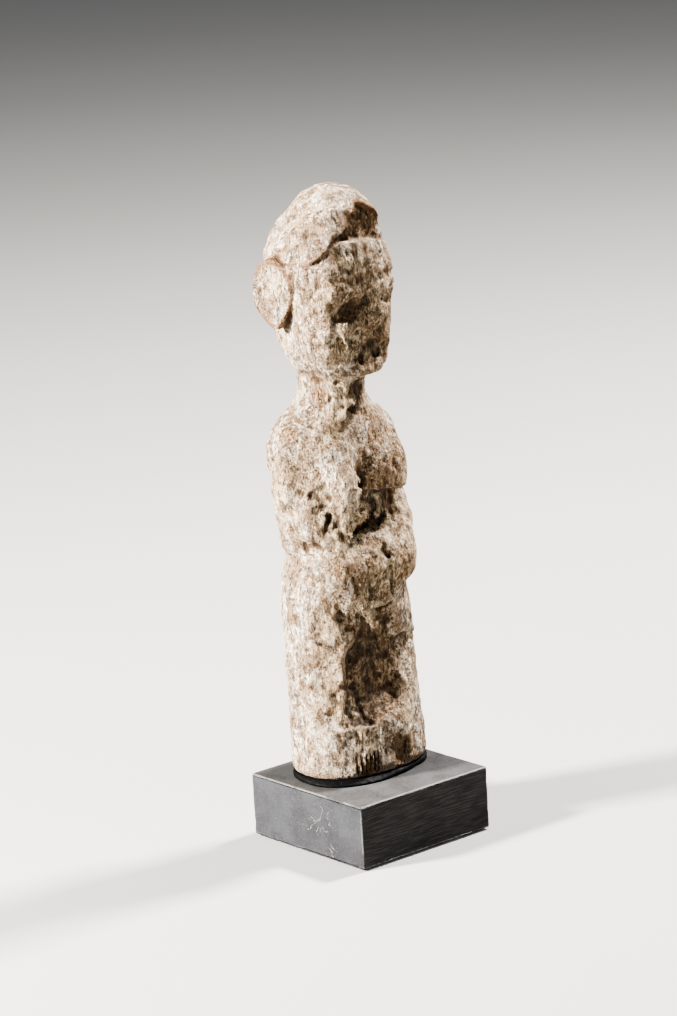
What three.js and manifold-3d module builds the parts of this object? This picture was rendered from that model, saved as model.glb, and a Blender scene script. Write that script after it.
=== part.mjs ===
// A carved wooden female figure on a painted display block.
//
// Millimetres, +Z up. The origin is the centre of the underside of the base felt. The figure faces
// -Y, so its right ear, arm and leg are on the -X side.
//
// The figure is one piece of wood. It stands on a steel pin that runs from a blind bore in the
// block, through a pad of mastic, into a blind bore in the foot, and the mastic holds it there.

import * as THREE from "three";
import { mergeVertices } from "three/addons/utils/BufferGeometryUtils.js";
import Module from "manifold-3d";

// ---------------------------------------------------------------- driving dimensions

const BLOCK_SIDE = 60;
const BLOCK_HEIGHT = 22.9;
const BLOCK_CHAMFER = 0.6;

const FELT_THICKNESS = 0.8;
const FELT_INSET = 1.5;
const FELT_CORNER = 2;

const MASTIC_THICKNESS = 1.7;
const MASTIC_WIDTH = 53;
const MASTIC_DEPTH = 38.6;

const PIN_DIAMETER = 4;
const PIN_CLEARANCE = 0.3;
const PIN_IN_BLOCK = 12;
const PIN_IN_FIGURE = 20;

const FIGURE_HEIGHT = 210.6;
const FOOT_WIDTH = 51.2;
const FOOT_DEPTH = 37;
const HEAD_WIDTH = 40.8;
const HEAD_DEPTH = 40;
const NECK_DIAMETER = 24.4;

// The foot's middle stands a little right of and behind the block's middle.
const FIGURE_X = 1.7;
const FIGURE_Y = 6.6;

const SECTION_POWER = 2.3;
const SECTION_SIDES = 30;

const BLOCK_TOP = FELT_THICKNESS + BLOCK_HEIGHT;
const FOOT_LEVEL = BLOCK_TOP + MASTIC_THICKNESS;
const BORE_DIAMETER = PIN_DIAMETER + 2 * PIN_CLEARANCE;

// ---------------------------------------------------------------- joining and cutting

const wasm = await Module();
wasm.setup();

// A closed geometry as a solid that can be joined and cut.
function solid(geometry) {
  const bare = geometry.clone();
  bare.deleteAttribute("normal");
  bare.deleteAttribute("uv");
  const merged = mergeVertices(bare, 1e-4);
  return new wasm.Manifold(
    new wasm.Mesh({
      numProp: 3,
      vertProperties: merged.attributes.position.array,
      triVerts: new Uint32Array(merged.index.array),
    }),
  );
}

// A solid back as a geometry.
function geometryOf(made) {
  const mesh = made.getMesh();
  const geometry = new THREE.BufferGeometry();
  geometry.setAttribute("position", new THREE.BufferAttribute(mesh.vertProperties, 3));
  geometry.setIndex(new THREE.BufferAttribute(mesh.triVerts, 1));
  geometry.computeVertexNormals();
  return geometry;
}

function joined(solids) {
  return solids.reduce((sum, next) => sum.add(next));
}

// ---------------------------------------------------------------- shapes

// A point of a rounded-square section of half width w and half depth d, at an angle.
function sectionPoint(angle, w, d, power) {
  const c = Math.cos(angle);
  const s = Math.sin(angle);
  const reach = (Math.abs(c) ** power + Math.abs(s) ** power) ** (-1 / power);
  return [w * reach * c, d * reach * s];
}

// A smooth column through stations [height, middle x, middle y, width, depth].
function column(stations, power = SECTION_POWER) {
  const middle = stations.map(([z, x, y]) => new THREE.Vector3(x, y, z));
  const size = stations.map(([z, , , width, depth]) => new THREE.Vector3(width / 2, depth / 2, z));
  const middleCurve = new THREE.CatmullRomCurve3(middle);
  const sizeCurve = new THREE.CatmullRomCurve3(size);
  const geometry = new THREE.CylinderGeometry(1, 1, 1, SECTION_SIDES, stations.length - 1);
  geometry.rotateX(Math.PI / 2);
  const at = geometry.attributes.position;
  for (let i = 0; i < at.count; i++) {
    const along = THREE.MathUtils.clamp(at.getZ(i) + 0.5, 0, 1);
    const centre = middleCurve.getPoint(along);
    const half = sizeCurve.getPoint(along);
    const out = Math.hypot(at.getX(i), at.getY(i));
    const angle = Math.atan2(at.getY(i), at.getX(i));
    const [x, y] = sectionPoint(angle, half.x, half.y, power);
    at.setXYZ(i, centre.x + out * x, centre.y + out * y, centre.z);
  }
  return geometry;
}

// An egg shape of the given half sizes, tilted about x, y and z in degrees.
function egg([x, y, z], [rx, ry, rz], tilt = [0, 0, 0], sides = 14) {
  const geometry = new THREE.SphereGeometry(1, sides, sides / 2);
  geometry.scale(rx, ry, rz);
  for (const [axis, degrees] of [["X", tilt[0]], ["Y", tilt[1]], ["Z", tilt[2]]]) {
    geometry["rotate" + axis](THREE.MathUtils.degToRad(degrees));
  }
  geometry.translate(x, y, z);
  return geometry;
}

// A limb from one point to another, round, with its own radius at each end.
function limb(from, to, fromRadius, toRadius, sides = 14) {
  const a = new THREE.Vector3(...from);
  const b = new THREE.Vector3(...to);
  const length = a.distanceTo(b);
  const profile = [];
  const steps = 4;
  for (let i = 0; i <= steps; i++) {
    const turn = (i / steps) * (Math.PI / 2);
    profile.push(new THREE.Vector2(fromRadius * Math.sin(turn), -fromRadius * Math.cos(turn)));
  }
  for (let i = steps; i >= 0; i--) {
    const turn = (i / steps) * (Math.PI / 2);
    profile.push(new THREE.Vector2(toRadius * Math.sin(turn), length + toRadius * Math.cos(turn)));
  }
  const geometry = new THREE.LatheGeometry(profile, sides);
  const up = new THREE.Vector3(0, 1, 0);
  const turn = new THREE.Quaternion().setFromUnitVectors(up, b.clone().sub(a).normalize());
  geometry.applyQuaternion(turn);
  geometry.translate(...from);
  return geometry;
}

// An outline of [x, height] points as seen from the front, as deep as the space in front of backY.
function frontPrism(points, backY, depth) {
  const shape = new THREE.Shape(points.map(([x, height]) => new THREE.Vector2(x, height)));
  const geometry = new THREE.ExtrudeGeometry(shape, { depth, bevelEnabled: false });
  geometry.rotateX(Math.PI / 2);
  geometry.translate(0, backY, 0);
  return geometry;
}

// A round upright peg or bore from one height to another.
function upright(diameter, bottom, top, sides = 24) {
  const geometry = new THREE.CylinderGeometry(diameter / 2, diameter / 2, top - bottom, sides);
  geometry.rotateX(Math.PI / 2);
  geometry.translate(0, 0, (top + bottom) / 2);
  return geometry;
}

// ---------------------------------------------------------------- the figure
// Its own frame: the origin is the middle of the sole, and heights count from the sole.

const LEG_STATIONS = [
  [0, 0, 0, FOOT_WIDTH - 1.6, FOOT_DEPTH - 1.6],
  [2.5, 0, 0, FOOT_WIDTH + 0.4, FOOT_DEPTH + 0.4],
  [14, 0, 0, FOOT_WIDTH + 0.4, FOOT_DEPTH],
  [26, -0.3, 0.4, FOOT_WIDTH, FOOT_DEPTH - 1],
  [38, -0.6, 0.9, FOOT_WIDTH - 0.4, FOOT_DEPTH - 2],
  [50, -0.9, 1.1, FOOT_WIDTH - 0.8, FOOT_DEPTH - 2.2],
  [60, -1.4, 1.4, FOOT_WIDTH - 2, FOOT_DEPTH - 2.6],
  [70, -1.2, 1.8, FOOT_WIDTH - 5, FOOT_DEPTH - 4],
  [80, -0.6, 2.2, FOOT_WIDTH - 9, FOOT_DEPTH - 6],
  [90, 0, 2.6, FOOT_WIDTH - 13, FOOT_DEPTH - 8],
];

const TORSO_STATIONS = [
  [74, 0, 2.2, 40, 29],
  [86, 0, 2.6, 37, 28],
  [96, 0, 2.8, 38, 29],
  [106, -0.4, 3, 43, 31],
  [114, -0.9, 3.4, 48, 33.4],
  [121, -1.2, 3.8, 48.4, 32.6],
  [127, -1.2, 4, 43, 28.6],
  [131, -0.8, 4.3, 35, 25.4],
  [135, -0.5, 4.4, 27, 23.4],
  [140, -0.4, 4.4, 22, 21],
];

const NECK_STATIONS = [
  [122, -0.4, 4.4, NECK_DIAMETER, NECK_DIAMETER],
  [134, -0.4, 4.4, NECK_DIAMETER, NECK_DIAMETER],
  [146, -0.6, 3.9, NECK_DIAMETER, NECK_DIAMETER + 0.6],
  [156, -0.8, 3.2, NECK_DIAMETER + 3, NECK_DIAMETER + 4],
];

const HEAD_STATIONS = [
  [142.5, -0.5, -4.6, 15, 15],
  [145, -0.6, -2.6, 26, 26],
  [150, -0.7, -0.8, 32.5, 33.5],
  [157, -0.8, 0.8, 36.6, 37.4],
  [166, -0.9, 1.8, 39.2, 39.4],
  [176, -1, 2.2, HEAD_WIDTH - 0.2, HEAD_DEPTH],
  [184, -1, 2.4, HEAD_WIDTH - 0.6, HEAD_DEPTH - 0.4],
  [191, -0.7, 1.8, 38.4, 38],
  [197, -0.1, 1, 34.8, 34.6],
  [202, 0.4, 0.4, 29, 29.2],
  [206, 0.6, 0, 21.6, 22],
  [209, 0.5, -0.2, 13, 14],
  [FIGURE_HEIGHT, 0.4, -0.2, 2, 2],
];

// The face is cut back from under the cap of hair, whose front edge is an upside-down V.
const FACE_OUTLINE = [
  [-30, 181],
  [-20, 187],
  [-9, 199],
  [-1.5, 205.5],
  [6, 200],
  [19, 188],
  [30, 181],
  [30, 140],
  [-30, 140],
];
const FACE_PLANE = -14.6;

// The lower belly under the hands narrows to a point between the thighs.
const LAP_STATIONS = [
  [54, -3.2, -14, 3, 5],
  [58, -2.6, -13, 12, 9],
  [64, -1.6, -11.8, 26, 14.6],
  [70, -1, -10, 36, 19.6],
  [76, -0.6, -8, 42, 24],
  [82, -0.4, -6.6, 40, 24],
  [89, -0.6, -4, 29, 19],
];

function head() {
  const skull = solid(column(HEAD_STATIONS));
  const face = skull.subtract(solid(frontPrism(FACE_OUTLINE, FACE_PLANE, 30)));
  const features = [
    egg([-0.9, -6.6, 182], [17.4, 10.6, 11.4]),
    egg([-0.9, -5.4, 166], [17.4, 11.4, 22]),
    limb([-0.9, -14.4, 181], [-0.9, -16.6, 165.5], 1.9, 3),
    egg([-0.9, -9.8, 151.5], [10.4, 7.6, 7.2]),
  ];
  const sockets = [-8.4, 6.8].map((x) => solid(egg([x, -17.6, 169.5], [6.4, 4, 4.4])));
  const mouth = solid(egg([-0.9, -18, 157.4], [5.4, 2.6, 1.6]));
  const grown = joined([face, ...features.map(solid)]);
  return grown.subtract(joined([...sockets, mouth]));
}

// Flat discs whose back edges stand away from the head.
function ears() {
  return [-1, 1].map((side) =>
    solid(egg([side * 21.4 - 0.9, 6.2, 174], [3.6, 8, 12.2], [-8, 0, -side * 20])),
  );
}

// The upper arms lie along the waist, and the forearms come round to the hands on the belly.
function arms() {
  const pieces = [];
  for (const side of [-1, 1]) {
    const shoulder = [side * 17.4 - 1.2, 5.2, 117];
    const elbow = [side * 18.8 + 1, 0.8 - side * 3.2, 86];
    const wrist = [side * 12.6 - 0.2, -10.8, 76.5];
    const fingers = [side * 5 - 1.2, -15, 66.5];
    pieces.push(limb(shoulder, elbow, 9.4, 7.4));
    pieces.push(limb(elbow, wrist, 7.4, 7.4));
    pieces.push(limb(wrist, fingers, 7.4, 4.6));
  }
  return pieces.map(solid);
}

// The right breast is long and hangs low, and the left one is broad and ends higher.
function breasts() {
  return [
    solid(limb([-9.4, -8.2, 117], [-11.4, -12, 98.5], 6.2, 6.8)),
    solid(egg([6, -5.8, 112], [13.4, 12.2, 10.4], [-8, 0, 0])),
  ];
}

// The gap between the thighs runs down to the feet, which stand forward of the shins.
function legs() {
  const whole = solid(column(LEG_STATIONS));
  const recess = solid(egg([-1.4, -22.4, 44], [17.6, 10, 20]));
  return whole.subtract(recess);
}

function figureGeometry() {
  const grown = joined([
    legs(),
    solid(column(TORSO_STATIONS)),
    solid(column(NECK_STATIONS, 2)),
    head(),
    ...ears(),
    ...arms(),
    ...breasts(),
    solid(column(LAP_STATIONS, 2)),
  ]);
  const bore = solid(upright(BORE_DIAMETER, -1, PIN_IN_FIGURE + PIN_CLEARANCE));
  return geometryOf(grown.subtract(bore));
}

// ---------------------------------------------------------------- the mount

// The mastic pad, squeezed a little proud of the foot all round.
function masticGeometry() {
  const pad = column([
    [0, 0, 0, MASTIC_WIDTH - 0.4, MASTIC_DEPTH - 0.4],
    [MASTIC_THICKNESS / 2, 0, 0, MASTIC_WIDTH, MASTIC_DEPTH],
    [MASTIC_THICKNESS, 0, 0, MASTIC_WIDTH - 1, MASTIC_DEPTH - 1],
  ]);
  const hole = upright(BORE_DIAMETER, -1, MASTIC_THICKNESS + 1);
  return geometryOf(solid(pad).subtract(solid(hole)));
}

function squareOutline(side, corner) {
  const half = side / 2;
  const shape = new THREE.Shape();
  shape.moveTo(half, half - corner);
  for (const [x, y, turn] of [[1, 1, 0], [-1, 1, 1], [-1, -1, 2], [1, -1, 3]]) {
    const from = (turn * Math.PI) / 2;
    const inner = half - corner;
    shape.absarc(x * inner, y * inner, corner, from, from + Math.PI / 2, false);
  }
  shape.closePath();
  return shape;
}

function blockGeometry() {
  const body = new THREE.ExtrudeGeometry(squareOutline(BLOCK_SIDE - 2 * BLOCK_CHAMFER, 0.4), {
    depth: BLOCK_HEIGHT - 2 * BLOCK_CHAMFER,
    bevelThickness: BLOCK_CHAMFER,
    bevelSize: BLOCK_CHAMFER,
    bevelSegments: 2,
    curveSegments: 3,
  });
  body.translate(0, 0, BLOCK_CHAMFER);
  const bore = upright(BORE_DIAMETER, BLOCK_HEIGHT - PIN_IN_BLOCK, BLOCK_HEIGHT + 1);
  bore.translate(FIGURE_X, FIGURE_Y, 0);
  return geometryOf(solid(body).subtract(solid(bore)));
}

function feltGeometry() {
  return new THREE.ExtrudeGeometry(squareOutline(BLOCK_SIDE - 2 * FELT_INSET, FELT_CORNER), {
    depth: FELT_THICKNESS,
    bevelEnabled: false,
    curveSegments: 6,
  });
}

// ---------------------------------------------------------------- materials

const MATERIALS = {
  carved_wood: new THREE.MeshStandardMaterial({ color: 0xb5a999, roughness: 0.9, metalness: 0 }),
  mastic: new THREE.MeshStandardMaterial({ color: 0x0c0c0d, roughness: 0.4, metalness: 0 }),
  steel: new THREE.MeshStandardMaterial({ color: 0x9a9a98, roughness: 0.4, metalness: 1 }),
  painted_wood: new THREE.MeshStandardMaterial({ color: 0x2b2c2e, roughness: 0.6, metalness: 0 }),
  felt: new THREE.MeshStandardMaterial({ color: 0x141414, roughness: 1, metalness: 0 }),
};

// ---------------------------------------------------------------- assembly

function piece(name, geometry, material, [x, y, z]) {
  const mesh = new THREE.Mesh(geometry, material);
  mesh.name = name;
  mesh.position.set(x, y, z);
  return mesh;
}

const mount = new THREE.Group();
mount.add(
  piece("base_felt", feltGeometry(), MATERIALS.felt, [0, 0, 0]),
  piece("plinth", blockGeometry(), MATERIALS.painted_wood, [0, 0, FELT_THICKNESS]),
);

// Everything that stands on the pin shares the pin's axis.
const PIN_BOTTOM = -MASTIC_THICKNESS - PIN_IN_BLOCK;
const standing = new THREE.Group();
standing.position.set(FIGURE_X, FIGURE_Y, FOOT_LEVEL);
standing.add(
  piece("mounting_pin", upright(PIN_DIAMETER, PIN_BOTTOM, PIN_IN_FIGURE), MATERIALS.steel, [0, 0, 0]),
  piece("foot_bedding", masticGeometry(), MATERIALS.mastic, [0, 0, -MASTIC_THICKNESS]),
  piece("carved_figure", figureGeometry(), MATERIALS.carved_wood, [0, 0, 0]),
);

const doll = new THREE.Group();
doll.add(mount, standing);

export default doll;
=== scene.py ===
"""A weathered, carved wooden female figure, pinned and bedded on a black-painted display block.

The figure is sculpted here as a signed distance field, in millimetres, in the figure's own frame: the
origin is the middle of the sole, +Z is up and the figure faces -Y. Everything else is in metres, in the
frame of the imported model.
"""

import math

import bmesh
import bpy
import numpy as np
import openvdb
from mathutils import Euler, Matrix, Vector


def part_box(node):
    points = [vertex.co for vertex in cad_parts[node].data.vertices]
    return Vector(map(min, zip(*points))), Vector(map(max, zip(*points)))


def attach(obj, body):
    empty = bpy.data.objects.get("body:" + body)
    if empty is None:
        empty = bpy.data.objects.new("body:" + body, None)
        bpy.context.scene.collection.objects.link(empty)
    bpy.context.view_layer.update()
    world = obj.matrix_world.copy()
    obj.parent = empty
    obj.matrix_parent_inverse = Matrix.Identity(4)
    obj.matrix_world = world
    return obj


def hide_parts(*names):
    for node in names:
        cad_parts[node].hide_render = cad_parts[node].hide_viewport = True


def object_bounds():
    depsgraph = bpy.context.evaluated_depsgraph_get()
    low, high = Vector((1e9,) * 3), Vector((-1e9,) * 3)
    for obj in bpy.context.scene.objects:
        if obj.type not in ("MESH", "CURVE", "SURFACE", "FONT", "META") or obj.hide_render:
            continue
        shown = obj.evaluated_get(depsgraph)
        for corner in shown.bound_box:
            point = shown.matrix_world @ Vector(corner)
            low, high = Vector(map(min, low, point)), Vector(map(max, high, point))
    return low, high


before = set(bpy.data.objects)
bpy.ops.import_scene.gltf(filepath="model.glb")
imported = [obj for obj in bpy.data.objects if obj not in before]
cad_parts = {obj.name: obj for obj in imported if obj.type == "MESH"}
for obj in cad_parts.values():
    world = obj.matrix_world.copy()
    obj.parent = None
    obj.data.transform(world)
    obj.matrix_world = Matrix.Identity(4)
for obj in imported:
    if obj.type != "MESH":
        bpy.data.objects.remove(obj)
CAD_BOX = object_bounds()

MM = 0.001
FIGURE_LOW, FIGURE_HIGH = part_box("carved_figure")
PAD_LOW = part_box("foot_bedding")[0]
BLOCK_LOW, BLOCK_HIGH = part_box("plinth")
FELT_LOW, FELT_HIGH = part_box("base_felt")
PIN_LOW, PIN_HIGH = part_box("mounting_pin")

# The figure's frame stands on the pin's axis, at the height of the sole.
SOLE = Vector(((PIN_LOW.x + PIN_HIGH.x) / 2, (PIN_LOW.y + PIN_HIGH.y) / 2, FIGURE_LOW.z))
FIGURE_HEIGHT = (FIGURE_HIGH.z - FIGURE_LOW.z) / MM
BORE_CLEARANCE = 0.3
BORE_RADIUS = (PIN_HIGH.x - PIN_LOW.x) / 2 / MM + BORE_CLEARANCE

VOXEL = 0.58
FIBRES = 4200
# Distances are kept only this far from the surface.
FAR = 8.0


# ---------------------------------------------------------------- clay: a distance field on a grid


def smooth_min(a, b, blend):
    """The nearer of two distances, with a fillet of about that size where they meet."""
    h = np.clip(0.5 + 0.5 * (b - a) / blend, 0, 1)
    return b + (a - b) * h - blend * h * (1 - h)


def smooth_max(a, b, blend):
    return -smooth_min(-a, -b, blend)


def smooth_step(low, high, value):
    t = np.clip((value - low) / (high - low), 0, 1)
    return t * t * (3 - 2 * t)


class Clay:
    """A signed distance field, in millimetres, negative inside, that shapes are added to and cut from."""

    def __init__(self, low, counts, step):
        self.low = np.array(low, float)
        self.step = step
        self.counts = np.array(counts)
        self.field = np.full(self.counts, FAR, np.float32)

    @classmethod
    def between(cls, low, high, step):
        return cls(low, np.ceil((np.array(high) - np.array(low)) / step).astype(int) + 1, step)

    def piece(self, low, high):
        """An empty lump of clay on the same lattice, to work on alone and then join."""
        window = self.window(low, high)
        start = np.array([s.start for s in window])
        counts = np.array([s.stop for s in window]) - start
        return Clay(self.low + self.step * start, counts, self.step)

    def join(self, piece, blend):
        start = np.rint((piece.low - self.low) / self.step).astype(int)
        window = tuple(slice(a, a + n) for a, n in zip(start, piece.counts))
        self.field[window] = smooth_min(self.field[window], piece.field, blend)

    def press(self, centre, reach, depth):
        """Pushes the skin in by depth round a point, fading over reach. A negative depth pulls it out."""
        centre, reach = np.array(centre, float), np.array(reach, float)
        window = self.window(centre - 2.4 * reach, centre + 2.4 * reach)
        axes = self.axes(window)
        gap = sum(((p - c) / r) ** 2 for p, c, r in zip(axes, centre, reach))
        self.field[window] += depth * np.exp(-gap)

    def soften(self, centre, reach, width=9):
        """Rounds off creases and slits near a point, fading over reach."""
        centre, reach = np.array(centre, float), np.array(reach, float)
        window = self.window(centre - 1.8 * reach, centre + 1.8 * reach)
        gap = sum(((p - c) / r) ** 2 for p, c, r in zip(self.axes(window), centre, reach))
        share = smooth_step(3.2, 0.6, gap)
        there = self.field[window]
        self.field[window] = there + share * (blurred(there, 2, width) - there)

    def window(self, low, high):
        first = np.clip(np.floor((np.array(low) - self.low) / self.step), 0, self.counts - 1)
        last = np.clip(np.ceil((np.array(high) - self.low) / self.step) + 1, 1, self.counts)
        return tuple(slice(int(a), int(b)) for a, b in zip(first, last))

    def axes(self, window):
        """Open x, y and z coordinate arrays of a window."""
        lines = [
            (self.low[i] + self.step * np.arange(s.start, s.stop)).astype(np.float32)
            for i, s in enumerate(window)
        ]
        return lines[0][:, None, None], lines[1][None, :, None], lines[2][None, None, :]

    def whole(self):
        return self.axes(self.window(self.low, self.low + self.step * self.counts))

    def add(self, shape, blend=1.0):
        margin = max(blend, 1.0) * 2
        window = self.window(shape.low - margin, shape.high + margin)
        there = self.field[window]
        self.field[window] = smooth_min(there, shape.distance(*self.axes(window)), blend)

    def cut(self, shape, blend=0.6):
        margin = max(blend, 1.0) * 2
        window = self.window(shape.low - margin, shape.high + margin)
        there = self.field[window]
        self.field[window] = smooth_max(there, -shape.distance(*self.axes(window)), blend)

    def even_out(self):
        """Rescales the field so that it is close to a true distance near the surface."""
        np.clip(self.field, -FAR, FAR, out=self.field)
        slope = np.sqrt(sum(g * g for g in np.gradient(self.field, self.step)))
        self.field /= np.maximum(slope, 0.35)
        np.clip(self.field, -FAR, FAR, out=self.field)

    def sample(self, points, field=None):
        """The field at points, by trilinear interpolation."""
        values = self.field if field is None else field
        place = (np.atleast_2d(points) - self.low) / self.step
        place = np.clip(place, 0, self.counts - 1.001)
        base = place.astype(int)
        part = place - base
        total = 0
        for corner in np.ndindex(2, 2, 2):
            weight = np.prod(np.where(corner, part, 1 - part), axis=1)
            index = base + corner
            total = total + weight * values[index[:, 0], index[:, 1], index[:, 2]]
        return total

    def hit(self, start, direction, reach=45):
        """The first surface point along a ray and the outward normal there, or None."""
        direction = np.array(direction) / np.linalg.norm(direction)
        points = np.array(start) + np.arange(0, reach, 0.3)[:, None] * direction
        values = self.sample(points)
        within = ((points > self.low) & (points < self.low + self.step * (self.counts - 1))).all(1)
        inside = np.nonzero((values < 0) & within)[0]
        if len(inside) == 0:
            return None
        point = points[inside[0]]
        around = np.repeat(point[None], 6, 0)
        for i in range(3):
            around[2 * i, i] += 1.2
            around[2 * i + 1, i] -= 1.2
        values = self.sample(around)
        normal = values[0::2] - values[1::2]
        return point, normal / np.linalg.norm(normal)

    def noise(self, cells, seed):
        """Smooth noise of about unit spread, with one random value for each cell of that size."""
        rng = np.random.default_rng(seed)
        cells = np.broadcast_to(cells, 3).astype(float)
        counts = np.ceil(self.counts * self.step / cells).astype(int) + 4
        values = rng.standard_normal(counts).astype(np.float32)
        for axis in range(3):
            weights = spline_weights(self.counts[axis], self.step / cells[axis], counts[axis])
            values = np.moveaxis(np.tensordot(weights, values, (1, axis)), 0, axis)
        return values / values.std()


def spline_weights(count, stride, cells):
    """A matrix that turns cell values along one axis into a smooth cubic spline."""
    place = np.arange(count) * stride
    base = place.astype(int)
    t = place - base
    weights = np.zeros((count, cells), np.float32)
    rows = np.arange(count)
    weights[rows, base] = (1 - t) ** 3 / 6
    weights[rows, base + 1] = (3 * t**3 - 6 * t**2 + 4) / 6
    weights[rows, base + 2] = (-3 * t**3 + 3 * t**2 + 3 * t + 1) / 6
    weights[rows, base + 3] = t**3 / 6
    return weights


# ---------------------------------------------------------------- shapes


class Egg:
    """An ellipsoid, tilted about x, y and z in degrees."""

    def __init__(self, centre, radii, tilt=(0, 0, 0)):
        self.centre = np.array(centre, float)
        self.radii = np.array(radii, float)
        self.turn = np.array(Euler([math.radians(a) for a in tilt]).to_matrix())
        reach = np.sqrt((self.turn**2) @ (self.radii**2))
        self.low = self.centre - reach
        self.high = self.centre + reach

    def local(self, x, y, z):
        offset = (x - self.centre[0], y - self.centre[1], z - self.centre[2])
        return [sum(self.turn[j][i] * offset[j] for j in range(3)) for i in range(3)]

    def distance(self, x, y, z):
        local = self.local(x, y, z)
        scaled = np.sqrt(sum((p / r) ** 2 for p, r in zip(local, self.radii)))
        steep = np.sqrt(sum((p / r**2) ** 2 for p, r in zip(local, self.radii))) + 1e-4
        return scaled * (scaled - 1) / steep


class Plate(Egg):
    """A flat plate, thin along its own x, with an elliptical outline that narrows downwards."""

    def __init__(self, centre, thickness, half_depth, half_height, tilt, narrowing=0.0):
        super().__init__(centre, (thickness / 2, half_depth, half_height), tilt)
        self.narrowing = narrowing

    def outline(self, x, y, z):
        """Distance from the outline, and the height over the middle of the plate."""
        u, v, w = self.local(x, y, z)
        _, half_depth, half_height = self.radii
        down = np.clip(-w / half_height, 0, 1)
        v = v / (1 - self.narrowing * down**2)
        rim = np.sqrt((v / half_depth) ** 2 + (w / half_height) ** 2)
        return (rim - 1) * min(half_depth, half_height), u

    def distance(self, x, y, z):
        outline, u = self.outline(x, y, z)
        return smooth_max(outline, np.abs(u) - self.radii[0], 0.8)


class Limb:
    """A run of round links through points, with a radius at each point."""

    def __init__(self, points, radii):
        self.points = np.array(points, float)
        self.radii = np.broadcast_to(radii, len(points)).astype(float)
        self.low = (self.points - self.radii[:, None]).min(0)
        self.high = (self.points + self.radii[:, None]).max(0)

    def distance(self, x, y, z):
        nearest = None
        for i in range(len(self.points) - 1):
            a, b = self.points[i], self.points[i + 1]
            run = b - a
            along = sum((p - q) * r for p, q, r in zip((x, y, z), a, run)) / (run @ run)
            along = np.clip(along, 0, 1)
            out = sum((p - q - along * r) ** 2 for p, q, r in zip((x, y, z), a, run))
            link = np.sqrt(out) - (self.radii[i] + along * (self.radii[i + 1] - self.radii[i]))
            nearest = link if nearest is None else np.minimum(nearest, link)
        return nearest


class Column:
    """An upright loft through stations (height, middle x, middle y, width, depth)."""

    def __init__(self, stations, power, end_blend=1.0):
        self.stations = np.array(stations, float)
        self.power = power
        self.end_blend = end_blend
        half = self.stations[:, 3:5] / 2
        self.low = np.append((self.stations[:, 1:3] - half).min(0), self.stations[0, 0])
        self.high = np.append((self.stations[:, 1:3] + half).max(0), self.stations[-1, 0])

    def distance(self, x, y, z):
        at = np.clip(z.ravel(), self.stations[0, 0], self.stations[-1, 0])
        tracks = [spline(at, self.stations[:, 0], self.stations[:, k]) for k in range(1, 5)]
        middle_x, middle_y, width, depth = (t[None, None, :] for t in tracks)
        dx = np.abs(x - middle_x) + 1e-3
        dy = np.abs(y - middle_y) + 1e-3
        shape = (dx / (width / 2)) ** self.power + (dy / (depth / 2)) ** self.power
        side = np.hypot(dx, dy) * (1 - shape ** (-1 / self.power))
        ends = np.maximum(self.stations[0, 0] - z, z - self.stations[-1, 0])
        return smooth_max(side, ends, self.end_blend)


def spline(at, knots, values):
    """A smooth curve through values at knots, with the slope of its neighbours at each knot."""
    slopes = np.gradient(values, knots)
    i = np.clip(np.searchsorted(knots, at) - 1, 0, len(knots) - 2)
    span = knots[i + 1] - knots[i]
    t = (at - knots[i]) / span
    start = values[i] * (2 * t**3 - 3 * t**2 + 1) + slopes[i] * span * (t**3 - 2 * t**2 + t)
    end = values[i + 1] * (3 * t**2 - 2 * t**3) + slopes[i + 1] * span * (t**3 - t**2)
    return (start + end).astype(np.float32)


class Region:
    """Any distance function with its box."""

    def __init__(self, low, high, distance):
        self.low = np.array(low, float)
        self.high = np.array(high, float)
        self.distance = distance


# ---------------------------------------------------------------- the figure's forms

LEGS = [
    (0, 0, 0, 49.8, 35.8),
    (2.2, 0, 0, 51.4, 37.4),
    (12, 0, 0, 51.6, 37.2),
    (24, -0.3, 0.4, 51.2, 36.2),
    (38, -0.6, 0.9, 50.8, 35),
    (50, -0.9, 1.1, 50.4, 34.8),
    (60, -1.4, 1.4, 49.6, 34.4),
    (68, -1.4, 1.8, 47.6, 33.4),
    (76, -1, 2.2, 44, 31.4),
    (84, -0.4, 2.5, 40, 29.6),
    (90, 0, 2.6, 34, 25),
    (96, 0, 2.6, 26, 18),
]
TORSO = [
    (74, 0, 2.2, 38, 29),
    (86, 0, 2.6, 35.5, 27),
    (96, 0, 2.8, 36.5, 27.6),
    (106, -0.4, 3, 42, 30.4),
    (114, -0.9, 3.4, 47.6, 33),
    (121, -1.2, 3.8, 48.2, 32.4),
    (127, -1.2, 4, 42.4, 28.4),
    (131, -0.8, 4.3, 31.5, 23.6),
    (134.5, -0.5, 4.4, 21, 18.4),
    (138, -0.4, 4.4, 16, 15),
]
NECK = [
    (122, -0.4, 4.4, 24.4, 24.4),
    (134, -0.4, 4.4, 24.4, 24.4),
    (146, -0.6, 3.9, 24.4, 25),
    (156, -0.8, 3.2, 27.4, 28.4),
]
HEAD = [
    (143, -0.4, -4.2, 17, 18),
    (145.5, -0.5, -2.4, 27, 27.6),
    (150, -0.6, -0.9, 32.8, 34),
    (157, -0.7, 0.7, 36.8, 37.8),
    (166, -0.8, 1.7, 39.4, 39.8),
    (176, -0.9, 2.1, 40.7, 40.6),
    (184, -0.9, 2.2, 40.4, 40.4),
    (191, -0.6, 1.7, 38.6, 38.6),
    (197, 0, 0.9, 35, 35),
    (202, 0.5, 0.3, 29.2, 29.4),
    (206, 0.6, 0, 21.8, 22),
    (209, 0.5, -0.2, 13, 14),
    (FIGURE_HEIGHT, 0.4, -0.2, 3, 3),
]
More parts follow.
